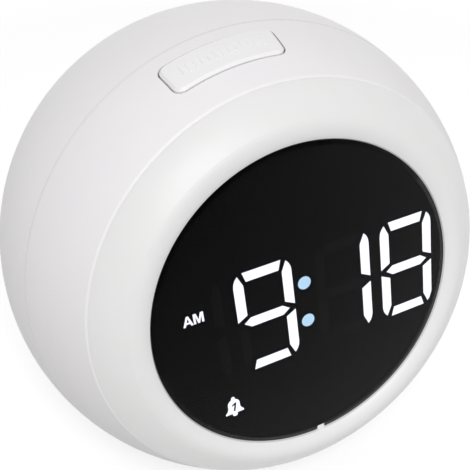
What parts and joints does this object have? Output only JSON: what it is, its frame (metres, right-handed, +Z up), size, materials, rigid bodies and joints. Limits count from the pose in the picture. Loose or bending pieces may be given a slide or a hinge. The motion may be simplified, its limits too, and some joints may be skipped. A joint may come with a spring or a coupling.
{
  "type": "bedside digital alarm clock",
  "caption": "Ball-shaped bedside alarm clock with a tilted round dark display, light-up ring, top snooze key and rear controls.",
  "frame": {"origin": "centre of the base, on the surface that the clock stands on", "axes": "+Z up; the display faces -Y and leans back 17 degrees; +X is to the right of someone facing the display"},
  "size_m": [0.1, 0.0922, 0.0939],
  "materials": {
    "white_plastic": "fine matt texture",
    "milky_diffuser": "milky, satin",
    "smoked_lens": "dark smoked, polished",
    "black_plastic": "matt",
    "clear_tape": "thin adhesive tape",
    "lit_white": "light guide, lit white",
    "lit_blue": "light guide, lit pale blue",
    "unlit_guide": "light guide, dark",
    "green_board": "solder mask",
    "led_chip": "phosphor on a white case",
    "steel_screw": "zinc plated",
    "chip_black": "moulded epoxy",
    "can_metal": "bright can",
    "white_key": "satin",
    "switch_body": "moulded",
    "switch_stem": "moulded",
    "grey_button": "satin",
    "socket_metal": "drawn shell",
    "basket_steel": "pressed",
    "paper_cone": "pressed pulp",
    "magnet_grey": "sintered",
    "soft_pad": "matt silicone",
    "cell_steel": "nickel plated",
    "foam": "closed-cell foam",
    "contact_steel": "spring steel"
  },
  "bodies": {
    "clock": {"mid_shell": "white_plastic", "rear_shell": "white_plastic", "front_ring": "milky_diffuser", "display_lens": "smoked_lens", "lens_tape": "clear_tape", "display_block": "black_plastic", "lit_segments": "lit_white", "unlit_segments": "unlit_guide", "colon_dots": "lit_blue", "morning_mark": "lit_white", "alarm_mark": "lit_white", "display_board": "green_board", "display_leds": "led_chip", "chassis": "white_plastic", "chassis_screws": "steel_screw", "ring_screws": "steel_screw", "display_screws": "steel_screw", "main_board_screws": "steel_screw", "light_board": "green_board", "light_leds": "led_chip", "main_board": "green_board", "board_link": "chip_black", "controller_chip": "chip_black", "clock_crystal": "can_metal", "capacitors": "can_metal", "snooze_board": "green_board", "snooze_switch": "switch_body", "snooze_board_screws": "steel_screw", "rear_board": "green_board", "rear_board_screws": "steel_screw", "button_switches": "switch_body", "power_socket": "socket_metal", "socket_tongue": "switch_body", "slide_switch": "socket_metal", "speaker_frame": "basket_steel", "speaker_cone": "paper_cone", "speaker_magnet": "magnet_grey", "speaker_clamp": "black_plastic", "speaker_screws": "steel_screw", "base_pad": "soft_pad", "base_screws": "steel_screw", "backup_cell": "cell_steel", "cell_top_contact": "contact_steel", "cell_side_contact": "contact_steel"},
    "snooze_key": {"snooze_key": "white_key", "snooze_stem": "switch_stem"},
    "mode_button": {"mode_button": "grey_button", "mode_stem": "switch_stem"},
    "alarm_button": {"alarm_button": "grey_button", "alarm_stem": "switch_stem"},
    "down_button": {"down_button": "grey_button", "down_stem": "switch_stem"},
    "up_button": {"up_button": "grey_button", "up_stem": "switch_stem"},
    "alarm_slider": {"alarm_slider": "switch_stem"},
    "battery_door": {"battery_door": "white_plastic", "cell_cushion": "foam"}
  },
  "joints": [
    {"name": "snooze_press", "type": "slide", "parent": "clock", "child": "snooze_key", "axis": [0.1091, 0.1204, -0.9867], "range_m": [0, 0.0006], "stiffness_N_per_m": 3500, "springref_m": -0.0001},
    {"name": "mode_press", "type": "slide", "parent": "clock", "child": "mode_button", "axis": [0, -0.9563, 0.2924], "range_m": [0, 0.0005], "stiffness_N_per_m": 3500, "springref_m": -0.0001},
    {"name": "alarm_press", "type": "slide", "parent": "clock", "child": "alarm_button", "axis": [0, -0.9563, 0.2924], "range_m": [0, 0.0005], "stiffness_N_per_m": 3500, "springref_m": -0.0001},
    {"name": "down_press", "type": "slide", "parent": "clock", "child": "down_button", "axis": [0, -0.9563, 0.2924], "range_m": [0, 0.0005], "stiffness_N_per_m": 3500, "springref_m": -0.0001},
    {"name": "up_press", "type": "slide", "parent": "clock", "child": "up_button", "axis": [0, -0.9563, 0.2924], "range_m": [0, 0.0005], "stiffness_N_per_m": 3500, "springref_m": -0.0001},
    {"name": "alarm_slide", "type": "slide", "parent": "clock", "child": "alarm_slider", "axis": [1, 0, 0], "range_m": [0, 0.002]},
    {"name": "battery_door_turn", "type": "hinge", "parent": "clock", "child": "battery_door", "pos_m": [0, 0, 0.0016], "axis": [0, 0, 1], "range_deg": [0, 45]}
  ]
}
